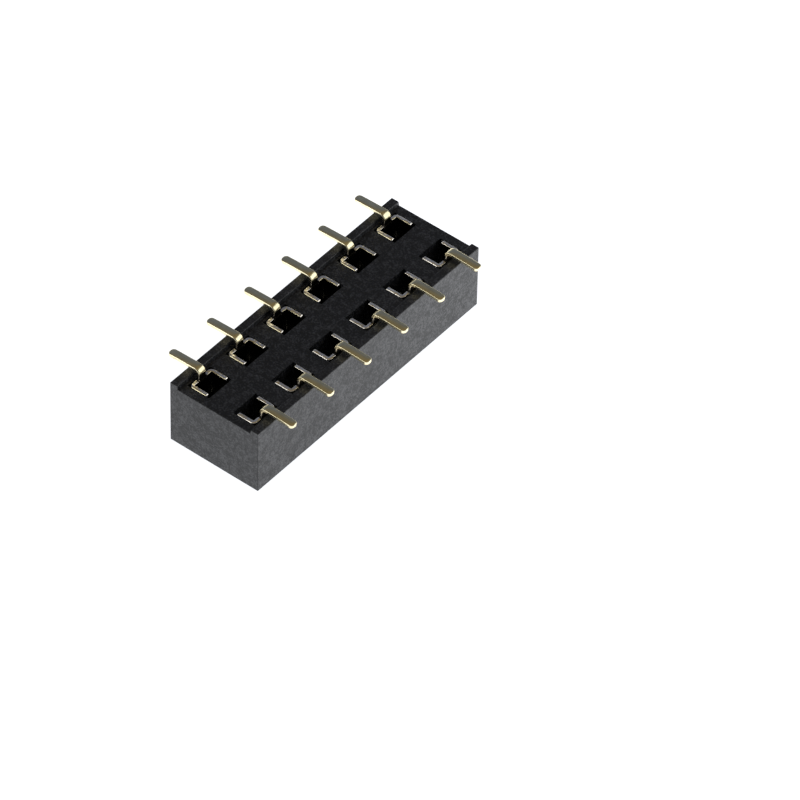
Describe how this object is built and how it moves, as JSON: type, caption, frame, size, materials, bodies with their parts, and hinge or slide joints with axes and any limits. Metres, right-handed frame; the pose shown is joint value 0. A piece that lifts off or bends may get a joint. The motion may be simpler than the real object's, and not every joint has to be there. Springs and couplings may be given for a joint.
{
  "type": "socket header",
  "caption": "Low surface-mount socket header: a moulded housing with two rows of square pin sockets on a tenth-inch grid and flat solder tails at both sides.",
  "frame": {"origin": "middle of the mating face, which the header stands on", "axes": "+Y along the rows, +X across them, +Z from the mating face to the circuit board side"},
  "size_m": [0.007, 0.0152, 0.0039],
  "materials": {
    "housing": "fine moulded grain, glass filled, near black",
    "contacts": "thin pale gold plating on stamped copper alloy strip"
  },
  "bodies": {
    "root": {"housing": "housing", "contact_left_1": "contacts", "contact_left_2": "contacts", "contact_left_3": "contacts", "contact_left_4": "contacts", "contact_left_5": "contacts", "contact_left_6": "contacts", "contact_right_1": "contacts", "contact_right_2": "contacts", "contact_right_3": "contacts", "contact_right_4": "contacts", "contact_right_5": "contacts", "contact_right_6": "contacts"}
  },
  "joints": []
}
